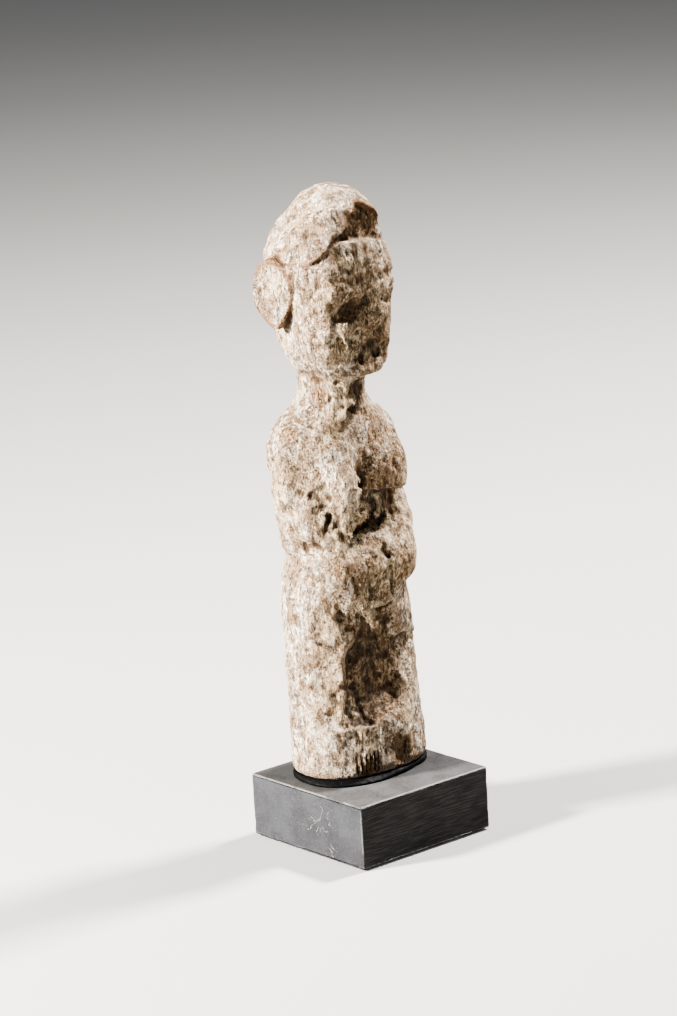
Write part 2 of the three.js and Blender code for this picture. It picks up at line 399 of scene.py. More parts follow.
LAP = [
    (60.5, -2.2, -12.6, 16, 9),
    (64, -1.6, -11.8, 25, 13.6),
    (70, -1, -10, 35, 18.6),
    (76, -0.6, -8, 41, 23),
    (82, -0.4, -6.6, 39, 23),
    (89, -0.6, -4, 28, 18),
]

# The front edge of the cap of hair, as height over x, with its point over the forehead.
HAIR_EDGE = np.array([
    (-26, 179),
    (-19, 185.0),
    (-15.5, 188.2),
    (-10.5, 192.2),
    (-5, 196.6),
    (-0.8, 201.4),
    (1.6, 204.4),
    (5, 203.2),
    (9.6, 200.4),
    (13, 196.4),
    (17, 191),
    (26, 183),
])
# The top of the forehead, where it stands out below the hollow under the cap.
FOREHEAD_TOP = np.array([(-26, 192.6), (-8, 192.8), (0, 192.2), (7, 191), (13, 189), (26, 186)])


def below_line(line, offset=0.0):
    """Distance above a line given as height over x: negative below it."""
    heights = line[:, 1] + offset

    def distance(x, y, z):
        height = np.interp(x.ravel(), line[:, 0], heights).astype(np.float32)
        slope = np.gradient(height, x.ravel())
        lean = np.sqrt(1 + slope**2)
        return (z - height[:, None, None]) / lean[:, None, None] + 0 * y

    return distance


def model_head(clay):
    head = clay.piece((-27, -24, 138), (27, 25, FIGURE_HEIGHT + 3))
    head.add(Column(HEAD, 2.35), 2.4)
    whittle(head, (-0.6, 1.8), (186, 207), 34, 7.0, 0.55)
    whittle(head, (-0.6, 1.8), (152, 184), 26, 7.0, 0.4, front=False)

    # Under the front edge of the cap the forehead is cut back, and it stands out again lower down.
    under_cap = below_line(HAIR_EDGE)
    under_ledge = below_line(FOREHEAD_TOP)

    def recess(x, y, z):
        floor = y + 12.3 - 0.0105 * (x + 0.5) ** 2 - 0.20 * np.maximum(z - 197, 0)
        return smooth_max(smooth_max(under_cap(x, y, z), floor, 0.4), -under_ledge(x, y, z), 0.9)

    head.cut(Region((-27, -24, 180), (27, -4, 208), recess), 0.35)
    x, y, z = head.whole()
    drop = -under_cap(x, y, z)
    edge = smooth_step(0.0, 1.0, drop) * np.exp(-np.maximum(drop, 0) / 6.5) * smooth_step(3, -5, y)
    head.field += (1.9 * edge * smooth_step(-19.5, -16.0, x) * smooth_step(13.0, 6.0, x)).astype(np.float32)

    def flat_front(x, y, z):
        front = -16.4 + 0.0065 * (x - 2) ** 2 + 0.0022 * (z - 170) ** 2
        return smooth_max(y - front, z - 194.0 + 0 * x, 0.5)

    head.cut(Region((-27, -24, 140), (27, -8, 194), flat_front), 1.6)

    # Brow and cheek lumps, the left front corner, and a broad, eroded nose.
    head.press((-13.6, -13.6, 183.0), (4.2, 4.2, 3.6), -1.3)
    head.press((-12.6, -14.2, 175.4), (3.6, 4.0, 3.4), -1.8)
    head.press((-5.0, -16.4, 186.5), (7.5, 5.0, 3.6), -0.4)
    head.press((10.0, -14.8, 176.0), (6.5, 6.0, 12.0), -2.2)
    head.press((4.0, -16.6, 172.0), (3.4, 5.0, 9.5), -2.3)
    head.press((5.0, -17.6, 165.0), (3.4, 4.0, 2.8), -1.6)
    head.press((-6.0, -17.0, 160.0), (6.0, 5.0, 4.5), -0.9)
    head.press((10.0, -16.0, 162.0), (5.5, 5.0, 7.0), -0.8)

    # The hollow at the right eye, leaf-shaped and higher towards the nose, and a shallower left one.
    eye = [(-12.0, -15.2, 165.8), (-7.4, -17.2, 168.0), (-1.0, -17.8, 170.9)]
    head.cut(Limb(eye, [2.2, 4.1, 2.6]), 0.6)
    head.press((-6.6, -15.0, 174.4), (6.0, 3.0, 2.2), -0.8)
    head.press((-12.4, -15.0, 162.6), (4.0, 4.0, 2.6), -0.8)
    head.cut(Limb([(9.8, -17.4, 169.8), (13.6, -15.6, 168.8)], [2.3, 1.8]), 0.9)

    # Mouth, chin and the hollows beside them.
    head.press((3.6, -17.0, 158.6), (6.0, 5.0, 2.4), 1.2)
    head.cut(Egg((4.6, -17.7, 153.4), (5.8, 4.0, 4.4), (0, 20, 0)), 1.4)
    head.cut(Egg((-0.4, -16.6, 150.0), (4.2, 2.6, 2.4), (0, -8, 0)), 0.8)
    head.press((9.4, -15.4, 157.0), (3.0, 4.0, 2.6), -0.8)
    head.press((-11.0, -16.0, 157.5), (5.0, 5.0, 5.0), 1.0)
    head.press((-13.0, -11.0, 149.5), (6.0, 6.0, 3.0), 0.8)
    head.add(Limb([(-4.4, -13.6, 145.8), (0.6, -14.9, 145.4), (5.8, -13.4, 146.2)], 1.5), 1.4)
    clay.join(head, 4.2)


def ear_slab(side):
    middle = (side * 20.9 - 0.8, 5.8, 173.8 - 0.4 * side)
    return Plate(middle, 5.0, 7.7, 12.4, (-5, side * -3, side * -23), narrowing=0.4)


def model_ears(clay):
    """Flat slabs whose back edges stand away from the head, with a groove in front of each."""
    for side in (-1, 1):
        groove = [(side * 19.9 - 0.8, -2.4, 184.0), (side * 21.0 - 0.8, -2.8, 177.5)]
        groove += [(side * 20.8 - 0.8, -1.4, 171.0), (side * 20.0 - 0.8, 1.4, 163.5)]
        clay.cut(Limb(groove, [0.9, 1.7, 1.3, 0.5]), 0.7)
        clay.add(ear_slab(side), 0.5)
        clay.press((side * 24.6 - 0.8, 4.2, 174.3), (2.6, 4.4, 7.5), 0.5)


def model_trunk(clay):
    legs = clay.piece((-28, -22, -1.5), (28, 25, 99))
    legs.add(Column(LEGS, 2.35, end_blend=1.6), 1.0)
    whittle(legs, (-1, 1), (6, 84), 64, 15.0, 0.4)
    model_legs(legs)
    clay.join(legs, 1.0)

    torso = clay.piece((-29, -20, 70), (29, 25, 146))
    torso.add(Column(TORSO, 2.2), 2.0)
    whittle(torso, (-0.6, 3), (84, 128), 24, 9.0, 0.4)
    clay.join(torso, 2.2)

    neck = clay.piece((-16, -16, 118), (16, 22, 160))
    neck.add(Column(NECK, 2.0), 1.0)
    whittle(neck, (-0.5, 4), (124, 150), 18, 7.0, 0.35)
    clay.join(neck, 5.0)


def model_arms(clay):
    """The upper arms lie along the waist, and the forearms come round to the belly."""
    for side in (-1, 1):
        arm = clay.piece((side * 14 - 16, -22, 62), (side * 14 + 16, 20, 131))
        shoulder = (side * 17.4 - 1.2, 5.0, 116.5)
        middle = (side * 18.5 - 0.4, 3.2 - side, 101)
        elbow = (side * 18.8 + 1, 0.8 - side * 3.2, 86.5)
        arm.add(Limb([shoulder, middle, elbow], [9.4, 7.8, 7.2]), 2.0)
        wrist = (side * 12.8 - 0.2, -10.6, 77.2)
        arm.add(Limb([elbow, wrist], [7.0, 7.0]), 1.6)
        whittle(arm, (side * 10, 3), (80, 124), 22, 8.0, 0.5)
        clay.join(arm, 1.8)
    lap = clay.piece((-27, -24, 56), (27, 8, 92))
    lap.add(Column(LAP, 2.1, end_blend=2.0), 1.6)
    whittle(lap, (-1, -4), (64, 88), 16, 7.0, 0.4)
    clay.join(lap, 1.6)

    # Between each upper arm and the waist the wood is cut back to a ragged gap.
    clay.add(Egg((-14.6, -7.0, 90.6), (6.4, 7.8, 7.6)), 2.0)
    clay.add(Egg((-18.4, -2.6, 93.6), (6.6, 6.8, 9.0)), 2.0)
    clay.add(Egg((-15.2, -3.4, 104.0), (6.6, 7.4, 12.0)), 2.0)
    for place, depth in (((-20.6, -5.4, 109), 1.2), ((-18.9, -6.4, 102.5), 2.1), ((-17.0, -9.4, 96), 2.2)):
        clay.press(place, (2.6, 5.5, 4.6), depth)
    clay.press((-15.4, -12.6, 90), (4.0, 4.5, 2.8), 1.8)
    gap = [(20.6, -7.8, 104), (18.8, -9.4, 97), (16.6, -11.4, 90.5)]
    clay.cut(Limb(gap, [1.2, 2.2, 1.6]), 1.2)
    for side in (-1, 1):
        back = [(side * 16.5 - 0.6, 19.4, 110), (side * 15.4 - 0.4, 17.2, 98), (side * 15.2, 16.4, 88)]
        clay.cut(Limb(back, [0.8, 1.8, 1.2]), 2.0)


def model_chest(clay):
    """The right breast is long and hangs low. The left is broad, and ends higher in a sharp lower edge."""
    left = clay.piece((-12, -22, 94), (24, 10, 128))
    mass = [(98, 7.4, -4.6, 24, 20.6), (104, 7.6, -5, 26, 22), (111, 7.4, -5.2, 26.6, 22.4)]
    mass += [(117, 7.0, -4.2, 24.4, 19.6), (122, 6.0, -2.2, 19, 14), (126, 5.0, 0, 11, 8)]
    left.add(Column(mass, 2.3, end_blend=3.0), 1.0)
    whittle(left, (7, 2), (104, 120), 14, 6.0, 0.4)

    def under(x, y, z):
        return z - 102.6 + 0.13 * x + 0.05 * (y + 12)

    left.cut(Region((-12, -22, 94), (24, 10, 104), under), 1.0)
    clay.join(left, 1.6)
    clay.press((0.5, -13.5, 120.5), (6, 6, 4), 0.5)

    # Below it the belly is hollow, and a small lump stands in the hollow.
    clay.cut(Egg((8.6, -17.4, 96.2), (12.0, 7.4, 6.8), (0, 6, 0)), 0.9)
    clay.press((9.6, -10.0, 89.6), (3.2, 3.0, 2.6), -1.8)
    clay.press((17.0, -9.0, 96.0), (4.0, 4.0, 6.0), 0.6)

    right = clay.piece((-22, -24, 84), (-1, 2, 128))
    right.add(Egg((-11.2, -8.6, 103.6), (7.6, 9.4, 12.6), (8, 2, 0)), 1.0)
    right.add(Egg((-10.6, -6.8, 114), (8.0, 7.2, 10.0), (10, 3, 0)), 3.0)
    right.add(Egg((-9.6, -10.4, 94.4), (5.6, 6.0, 5.6)), 2.0)
    whittle(right, (-11, -4), (94, 120), 12, 6.0, 0.45)
    right.cut(Limb([(-1.6, -15.6, 118), (-1.9, -18.6, 106), (-2.2, -18.6, 94)], 2.6), 0.5)
    clay.join(right, 2.2)
    clay.cut(Limb([(-3.6, -14.6, 104), (-4.2, -15.4, 98), (-4.6, -15.2, 91)], [0.6, 1.7, 1.6]), 0.6)
    clay.press((-9.0, -16.4, 88.6), (6.5, 4.0, 1.8), 1.3)


def soften_waist(clay):
    """The gap beside the right breast is worn to a furrow, without sharp pits."""
    for place in ((-20.5, -5.6, 109), (-18.4, -8.0, 101), (-17.2, -10.6, 95.5), (-14.6, -13.0, 90)):
        clay.soften(place, (4.6, 6.0, 6.0))
    clay.soften((-4.6, -15.0, 95.0), (3.0, 5.0, 5.0), 5)
    clay.press((-18.8, -7.6, 103.0), (2.4, 5.0, 7.0), 0.9)
    clay.press((-16.4, -11.0, 94.5), (2.8, 5.0, 4.0), 0.6)
    for place in ((-19.4, -7.0, 104.0), (-16.6, -11.4, 95.5)):
        clay.soften(place, (3.6, 5.0, 5.0))
    clay.press((-10.4, -15.6, 90.6), (3.0, 3.0, 1.8), -0.9)
    clay.press((-6.2, -16.6, 91.2), (1.8, 3.0, 1.6), -0.9)


def model_hands(clay):
    """Two closed hands meet over the lower belly, their fingers pointing down."""
    clay.press((-10.0, -17.0, 73.0), (7.0, 6.0, 7.0), -1.2)
    clay.press((11.0, -16.0, 73.0), (5.0, 6.0, 6.5), -1.2)
    clay.add(Limb([(-19.6, -5.4, 78.6), (-14.8, -11.8, 71.6), (-8.2, -14.4, 67.0)], [4.2, 4.4, 3.8]), 1.2)
    clay.add(Limb([(19.6, -6.8, 78.0), (15.2, -11.6, 71.6), (9.4, -13.6, 67.6)], [4.8, 4.4, 3.4]), 1.2)
    clay.cut(Limb([(0.4, -21.4, 80.5), (2.8, -20.6, 74.5), (5.0, -18.4, 66)], [0.9, 2.2, 1.7]), 1.2)
    clay.cut(Egg((-2.8, -20.9, 73.0), (3.2, 2.6, 4.4), (0, 10, 0)), 0.6)
    clay.press((-3.6, -18.6, 67.0), (4.4, 4.0, 2.4), 1.5)
    clay.press((12.0, -16.6, 79.6), (4.0, 4.0, 1.8), 0.9)
    for x, lean in ((-12.4, 2.8), (-9.4, 2.4), (-6.6, 2.0)):
        line = [(x - 1.0, -21.3 + 0.022 * x * x, 74), (x + lean, -19.2 + 0.014 * x * x, 65)]
        clay.cut(Limb(line, [0.7, 1.1]), 0.5)
    for x, lean in ((8.4, -0.8), (11.6, -1.4)):
        line = [(x + 0.8, -20.2 + 0.012 * x * x, 75), (x + lean, -18.4 + 0.012 * x * x, 66)]
        clay.cut(Limb(line, [0.7, 1.1]), 0.5)

    # The belly ends under the hands in a ragged point between the thighs.
    point = [(-9.4, -14.2, 63.6), (-5.2, -16.0, 59.4), (-3.4, -16.0, 54.6), (-2.9, -14.4, 51.4)]
    clay.add(Limb(point, [3.0, 2.1, 1.4, 0.7]), 1.6)
    for place in ((-17.5, -10.5, 66.5), (-14.2, -13.0, 63.5), (-10.6, -14.6, 61.0), (12.0, -13.6, 63.0)):
        clay.soften(place, (4.5, 5.5, 4.5))


def model_legs(legs):
    """A wide hollow runs down between the thighs to the feet, which stand forward."""

    def hollow(x, y, z):
        across = smooth_step(-24.0, -11.0, x) * smooth_step(16.0, 6.0, x)
        foot_line = 22.5 - 3.5 * smooth_step(-4, -9, x) + 4.5 * smooth_step(3, 12, x)
        top = 65 - 9 * smooth_step(-5, -13, x)
        along = smooth_step(foot_line - 6.0, foot_line + 5.0, z) * smooth_step(top, top - 13, z)
        return y + 20.2 - 10.4 * across * along

    legs.cut(Region((-28, -22, 10), (28, 0, 76), hollow), 2.6)
    slice_off(legs, np.array((-20.4, -11.6, 42)), np.array((-0.66, -0.751, 0.0)), 1.1, 25)
    legs.press((1.2, -11.0, 40), (2.8, 5.0, 9), 1.2)
    legs.press((-5.0, -11.0, 36), (3.0, 5.0, 13), -0.5)
    legs.press((-11.5, -12.0, 40), (4.0, 5.0, 13), 0.5)
    legs.press((-18.8, -13.0, 30), (4, 4.0, 20), -0.5)
    legs.press((8.0, -17.0, 14), (9.0, 5.0, 7.0), -0.8)
    legs.press((-2.6, -18.0, 12), (2.2, 4.0, 8), 0.7)
    legs.soften((10.5, -15.0, 48.0), (5.0, 4.0, 5.0))
    legs.soften((-4.0, -11.5, 24.0), (9.0, 5.0, 5.0))
    back = [(-0.6, 20.8, 64), (-0.4, 20.6, 44), (0, 20.8, 22), (0, 20.6, 2)]
    legs.cut(Limb(back, [1.0, 2.4, 2.4, 1.6]), 2.6)
    for side in (-1, 1):
        legs.press((side * 10 - 1, 18.0, 69), (8, 8, 8), -1.6)


TOE_CUTS = (-14.8, -13.1, -11.4, -9.7, -8.1, -6.6)


def model_toes(clay):
    """Short knife cuts mark the right foot's toes, and a chip is missing from the left foot."""
    for i, x in enumerate(TOE_CUTS):
        front = -18.3 + 0.0105 * (x + 1.0) ** 2
        top = 8.8 + 1.0 * math.sin(2.4 * i)
        clay.cut(Limb([(x, front - 0.1, top), (x + 0.4, front - 0.2, 2.2)], [0.45, 0.8]), 0.2)
    clay.cut(Plate((4.6, -19.2, 6.6), 6.4, 2.3, 5.0, (0, 8, 4)), 0.5)
    clay.cut(Plate((2.2, -19.3, 10.2), 3.8, 2.0, 4.0, (0, 24, 0)), 0.5)


def model_back(clay):
    """A shallow spine between flat shoulder blades."""
    clay.cut(Limb([(-0.6, 22.4, 116), (-0.4, 20.2, 100), (-0.4, 19.6, 82)], [1.0, 2.0, 1.4]), 2.4)
    for side in (-1, 1):
        clay.press((side * 9.4 - 1, 19.0, 117), (7, 6, 8), -1.2)


def model_neck(clay):
    """A rough lump of wood is left at the front of the neck, with a pit below it."""
    clay.press((-8.0, -8.0, 139.6), (4.6, 4.4, 6.0), -3.4)
    clay.press((-3.0, -9.6, 134.6), (4.4, 3.6, 4.0), -2.6)
    clay.press((-4.4, -10.4, 129.4), (4.6, 3.4, 1.8), 0.9)
    clay.soften((-1.0, -10.0, 130.0), (4.0, 4.0, 4.0), 5)
    clay.press((5.0, -8.0, 138), (4.6, 4.0, 8.0), 1.3)


def whittle(lump, axis, heights, count, reach, depth, front=True):
    """Flat knife cuts round a lump, each a plane that takes a shallow slice within reach of a point."""
    rng = np.random.default_rng(count * 7 + int(heights[0]))
    for _ in range(count):
        height = rng.uniform(*heights)
        angle = rng.uniform(0, 2 * math.pi)
        near = reach * rng.uniform(0.7, 1.3)
        slice_depth = depth * rng.uniform(0.5, 1.3)
        out = np.array([math.cos(angle), math.sin(angle), 0.0])
        middle = np.array([axis[0], axis[1], height])
        if not front and out[1] < -0.6:
            continue
        found = lump.hit(middle + out * 40, -out)
        if found is not None:
            slice_off(lump, *found, slice_depth, near)


def slice_off(lump, point, normal, depth, near):
    level = float(normal @ point) - depth

    def distance(x, y, z):
        short = level - (normal[0] * x + normal[1] * y + normal[2] * z)
        out = np.sqrt((x - point[0]) ** 2 + (y - point[1]) ** 2 + (z - point[2]) ** 2)
        return smooth_max(short, out - near, 3.0)

    lump.cut(Region(point - near, point + near, distance), 0.3)


# Where the surface is eroded to loose fibre: centre, reach and strength.
ERODED = [
    ((-6, -17, 184), 9, 0.7),
    ((5, -17, 172), 10, 0.9),
    ((-15, -13, 174), 7, 1.0),
    ((-8, -16, 157), 9, 0.9),
    ((4, -17, 149), 7, 0.8),
    ((-7, -10, 139), 6, 1.3),
    ((-3, -12, 134), 5, 1.4),
    ((-17, -7, 101), 6, 1.2),
    ((-15, -10, 94), 6, 1.6),
    ((-12, -15, 89), 7, 2.0),
    ((-5, -15, 97), 5, 1.5),
    ((-6, -17, 106), 6, 1.0),
    ((2, -12, 95), 7, 1.2),
    ((9, -11, 90), 6, 1.3),
    ((1, -19, 73), 7, 1.2),
    ((-5, -17, 67), 5, 1.0),
    ((-6, -16, 60), 7, 1.3),
    ((-2, -12, 40), 12, 0.5),
    ((-14, -15, 26), 9, 1.0),
    ((-12, -17, 15), 6, 0.6),
    ((4, -18, 8), 5, 0.4),
]


def spot_share(spots, x, y, z, fall=1.0):
    """How strongly the strongest of some spots (centre, reach, strength) acts at each point."""
    share = 0
    for (spot_x, spot_y, spot_z), reach, strength in spots:
        gap = ((x - spot_x) ** 2 + (y - spot_y) ** 2 + (z - spot_z) ** 2) / reach**2
        share = np.maximum(share, strength * np.exp(-gap * fall))
    return share


def eroded_share(x, y, z):
    # The inside of the eye hollow is smooth.
    eye = (x + 6.6) ** 2 / 36 + (y + 14) ** 2 / 9 + (z - 168.6) ** 2 / 16
    return spot_share(ERODED, x, y, z, 1.2) * (1 - 0.9 * np.exp(-eye))


def smooth_places(x, y, z):
    """The cap's front edge and the flat faces of the ears, which have stayed crisp."""
    drop = below_line(HAIR_EDGE)(x, y, z)
    share = np.exp(-((drop - 0.8) / 3.0) ** 2) * (y < 2) * (z > 183)
    for side in (-1, 1):
        gap = ((x - side * 24 + 0.8) / 4) ** 2 + ((y - 5) / 9) ** 2 + ((z - 174) / 13) ** 2
        share = np.maximum(share, smooth_step(1.4, 0.8, gap))
    return share


def weather(clay):
    """Uneven carving, raised grain, pits and loose fibre."""
    x, y, z = clay.whole()
    worn = eroded_share(x, y, z).astype(np.float32)
    sole = smooth_step(0.5, 4.0, z) * (1 - 0.7 * smooth_places(x, y, z))
    broad = clay.noise((11, 11, 16), 11) * 0.15 + clay.noise((4.6, 4.6, 7), 12) * 0.09
    grain = clay.noise((1.3, 1.3, 9), 13)
    fine = clay.noise(1.2, 14)
    lumps = clay.noise((2.4, 2.4, 2.9), 15)
    fibre = clay.noise((1.25, 1.25, 4.0), 16)
    pits = np.clip(clay.noise((1.5, 1.5, 2.2), 17) - 1.3, 0, 0.9)
    patchy = smooth_step(-0.9, 1.0, clay.noise((9, 9, 13), 18))
    change = broad + 0.07 * grain + 0.085 * fine + patchy * (0.13 * lumps + 0.06 * fine + 0.7 * pits)
    change += worn * (0.42 * lumps + 0.36 * fibre + 0.30 * fine) + 0.5 * np.minimum(worn, 0.5) * pits
    clay.field += (change * sole).astype(np.float32)


def sculpt():
    clay = Clay.between((-31, -25, -1.5), (31, 27.5, FIGURE_HEIGHT + 2.5), VOXEL)
    model_trunk(clay)
    model_head(clay)
    model_ears(clay)
    model_neck(clay)
    model_arms(clay)
    model_chest(clay)
    soften_waist(clay)
    model_hands(clay)
    model_back(clay)
    for x in (-10, 0, 10):
        clay.soften((x, 6.0, 131.5), (9, 16, 5))
        clay.soften((x, 16.0, 93.0), (9, 9, 6))
    clay.soften((-9.0, -8.0, 146.0), (6, 6, 3))
    clay.even_out()
    weather(clay)
    model_toes(clay)
    bore_top = (PIN_HIGH.z - SOLE.z) / MM + BORE_CLEARANCE
    clay.cut(Limb([(0, 0, -6), (0, 0, bore_top - BORE_RADIUS)], BORE_RADIUS), 0.2)
    x, y, z = clay.whole()
    clay.field = np.maximum(clay.field, -z + 0 * x + 0 * y)
    return clay


def blurred(values, passes, width):
    """A soft average over boxes of that many voxels."""
    for _ in range(passes):
        for axis in range(3):
            padded = np.concatenate(
                [
                    np.repeat(values.take([0], axis), width // 2 + 1, axis),
                    values,
                    np.repeat(values.take([-1], axis), width // 2, axis),
                ],
                axis,
            )
            total = np.cumsum(padded, axis, dtype=np.float32)
            count = values.shape[axis]
            upper = total.take(range(width, width + count), axis)
            lower = total.take(range(count), axis)
            values = (upper - lower) / width
    return values


def mesh_from(name, clay):
    """The clay's surface as a mesh of even quads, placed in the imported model's frame."""
    grid = openvdb.FloatGrid(FAR)
    grid.copyFromArray(np.clip(clay.field, -FAR, FAR))
    grid.transform = openvdb.createLinearTransform(voxelSize=clay.step)
    points, quads = grid.convertToQuads(isovalue=0.0)
    points = points + clay.low
    place = points * MM + np.array(SOLE)
    mesh = bpy.data.meshes.new(name)
    if inside_out(points, quads):
        quads = quads[:, ::-1]
    mesh.from_pydata(place.tolist(), [], quads.tolist())
    shade_smooth(mesh)
    return mesh, points


def inside_out(points, quads):
    corner = points[quads]
    normals = np.cross(corner[:, 1] - corner[:, 0], corner[:, 2] - corner[:, 0])
    volume = (corner.mean(1) * normals).sum()
    return volume < 0


def keep_largest(mesh):
    """Drops crumbs that the weathering has cut loose."""
    work = bmesh.new()
    work.from_mesh(mesh)
    work.verts.ensure_lookup_table()
    seen = np.zeros(len(work.verts), int)
    groups = 0
    for start in work.verts:
        if seen[start.index]:
            continue
        groups += 1
        stack = [start]
        seen[start.index] = groups
        while stack:
            for edge in stack.pop().link_edges:
                for vertex in edge.verts:
                    if not seen[vertex.index]:
                        seen[vertex.index] = groups
                        stack.append(vertex)
    largest = np.bincount(seen)[1:].argmax() + 1
    kept = seen == largest
    loose = [v for v in work.verts if not kept[v.index]]
    bmesh.ops.delete(work, geom=loose, context="VERTS")
    work.to_mesh(mesh)
    work.free()
    return kept


def shade_smooth(mesh):
    mesh.polygons.foreach_set("use_smooth", [True] * len(mesh.polygons))


def vertex_values(mesh, name):
    """The vertices' places ("co") or normals ("normal"), one row each."""
    values = np.zeros(len(mesh.vertices) * 3, np.float32)
    mesh.vertices.foreach_get(name, values)
    return values.reshape(-1, 3)


def set_attribute(mesh, name, values):
    attribute = mesh.attributes.new(name, "FLOAT", "POINT")
    attribute.data.foreach_set("value", np.asarray(values, np.float32))


# ---------------------------------------------------------------- material helpers


class Nodes:
    """Short calls for a material's nodes."""

    def __init__(self, name):
        self.material = bpy.data.materials.new(name)
        self.material.use_nodes = True
        self.tree = self.material.node_tree
        self.shader = self.tree.nodes["Principled BSDF"]
        self.place = self.tree.nodes.new("ShaderNodeTexCoord").outputs["Object"]

    def link(self, value, socket):
        if isinstance(value, bpy.types.NodeSocket):
            self.tree.links.new(value, socket)
        else:
            socket.default_value = value

    def add(self, kind, inputs, output, **settings):
        """A new node with its settings made and its inputs filled or linked, as one of its outputs."""
        node = self.tree.nodes.new("ShaderNode" + kind)
        for name, value in settings.items():
            setattr(node, name, value)
        for name, value in inputs.items():
            self.link(value, node.inputs[name])
        return node.outputs[output]

    def scaled(self, x, y=None, z=None):
        """Object coordinates in cells per metre along each axis."""
        return self.add("Mapping", {"Vector": self.place, "Scale": (x, y or x, z or x)}, "Vector")

    def along(self, axis):
        """One object coordinate, in metres."""
        return self.add("SeparateXYZ", {0: self.place}, axis)

    def noise(self, vector, detail=3.0, roughness=0.55, distortion=0.0):
        inputs = {"Vector": vector, "Scale": 1.0, "Detail": detail}
        inputs |= {"Roughness": roughness, "Distortion": distortion}
        return self.add("TexNoise", inputs, "Fac")

    def attribute(self, name):
        return self.add("Attribute", {}, "Fac", attribute_name=name)

    def math(self, operation, a, b=0.5):
        return self.add("Math", {0: a, 1: b}, 0, operation=operation)

    def plus(self, a, b):
        return self.math("ADD", a, b)

    def minus(self, a, b):
        return self.math("SUBTRACT", a, b)

    def times(self, a, b):
        return self.math("MULTIPLY", a, b)

    def hairline(self, value, thin, thick):
        """1 along the line where a noise is at its middle, and 0 away from it."""
        return self.ramp(self.math("ABSOLUTE", self.minus(value, 0.5)), thin, thick, 1.0, 0.0)

    def ramp(self, value, low, high, to_low=0.0, to_high=1.0):
        """A smooth change from to_low at low to to_high at high."""
        inputs = {"Value": value, "From Min": low, "From Max": high, "To Min": to_low, "To Max": to_high}
        return self.add("MapRange", inputs, "Result", interpolation_type="SMOOTHSTEP")

    def mix(self, share, a, b):
        return self.add("Mix", {"Factor": share, "A": a, "B": b}, "Result", data_type="RGBA")

    def bump(self, height, depth, normal=None):
        """depth is the height's full range in metres."""
        inputs = {"Strength": 1.0, "Distance": depth, "Height": height}
        if normal is not None:
            inputs["Normal"] = normal
        return self.add("Bump", inputs, "Normal")

    def finish(self, colour, roughness, normal, specular=0.3):
        self.link(colour, self.shader.inputs["Base Color"])
        self.link(roughness, self.shader.inputs["Roughness"])
        self.tree.links.new(normal, self.shader.inputs["Normal"])
        self.shader.inputs["Specular IOR Level"].default_value = specular
        return self.material


def rgb(red, green, blue):
    """A colour from its screen values, 0 to 255."""
    linear = [c / 12.92 if c <= 0.04045 else ((c + 0.055) / 1.055) ** 2.4
              for c in (red / 255, green / 255, blue / 255)]
    return (*linear, 1.0)


# ---------------------------------------------------------------- materials

TOE_PITCH = 1.65 * MM


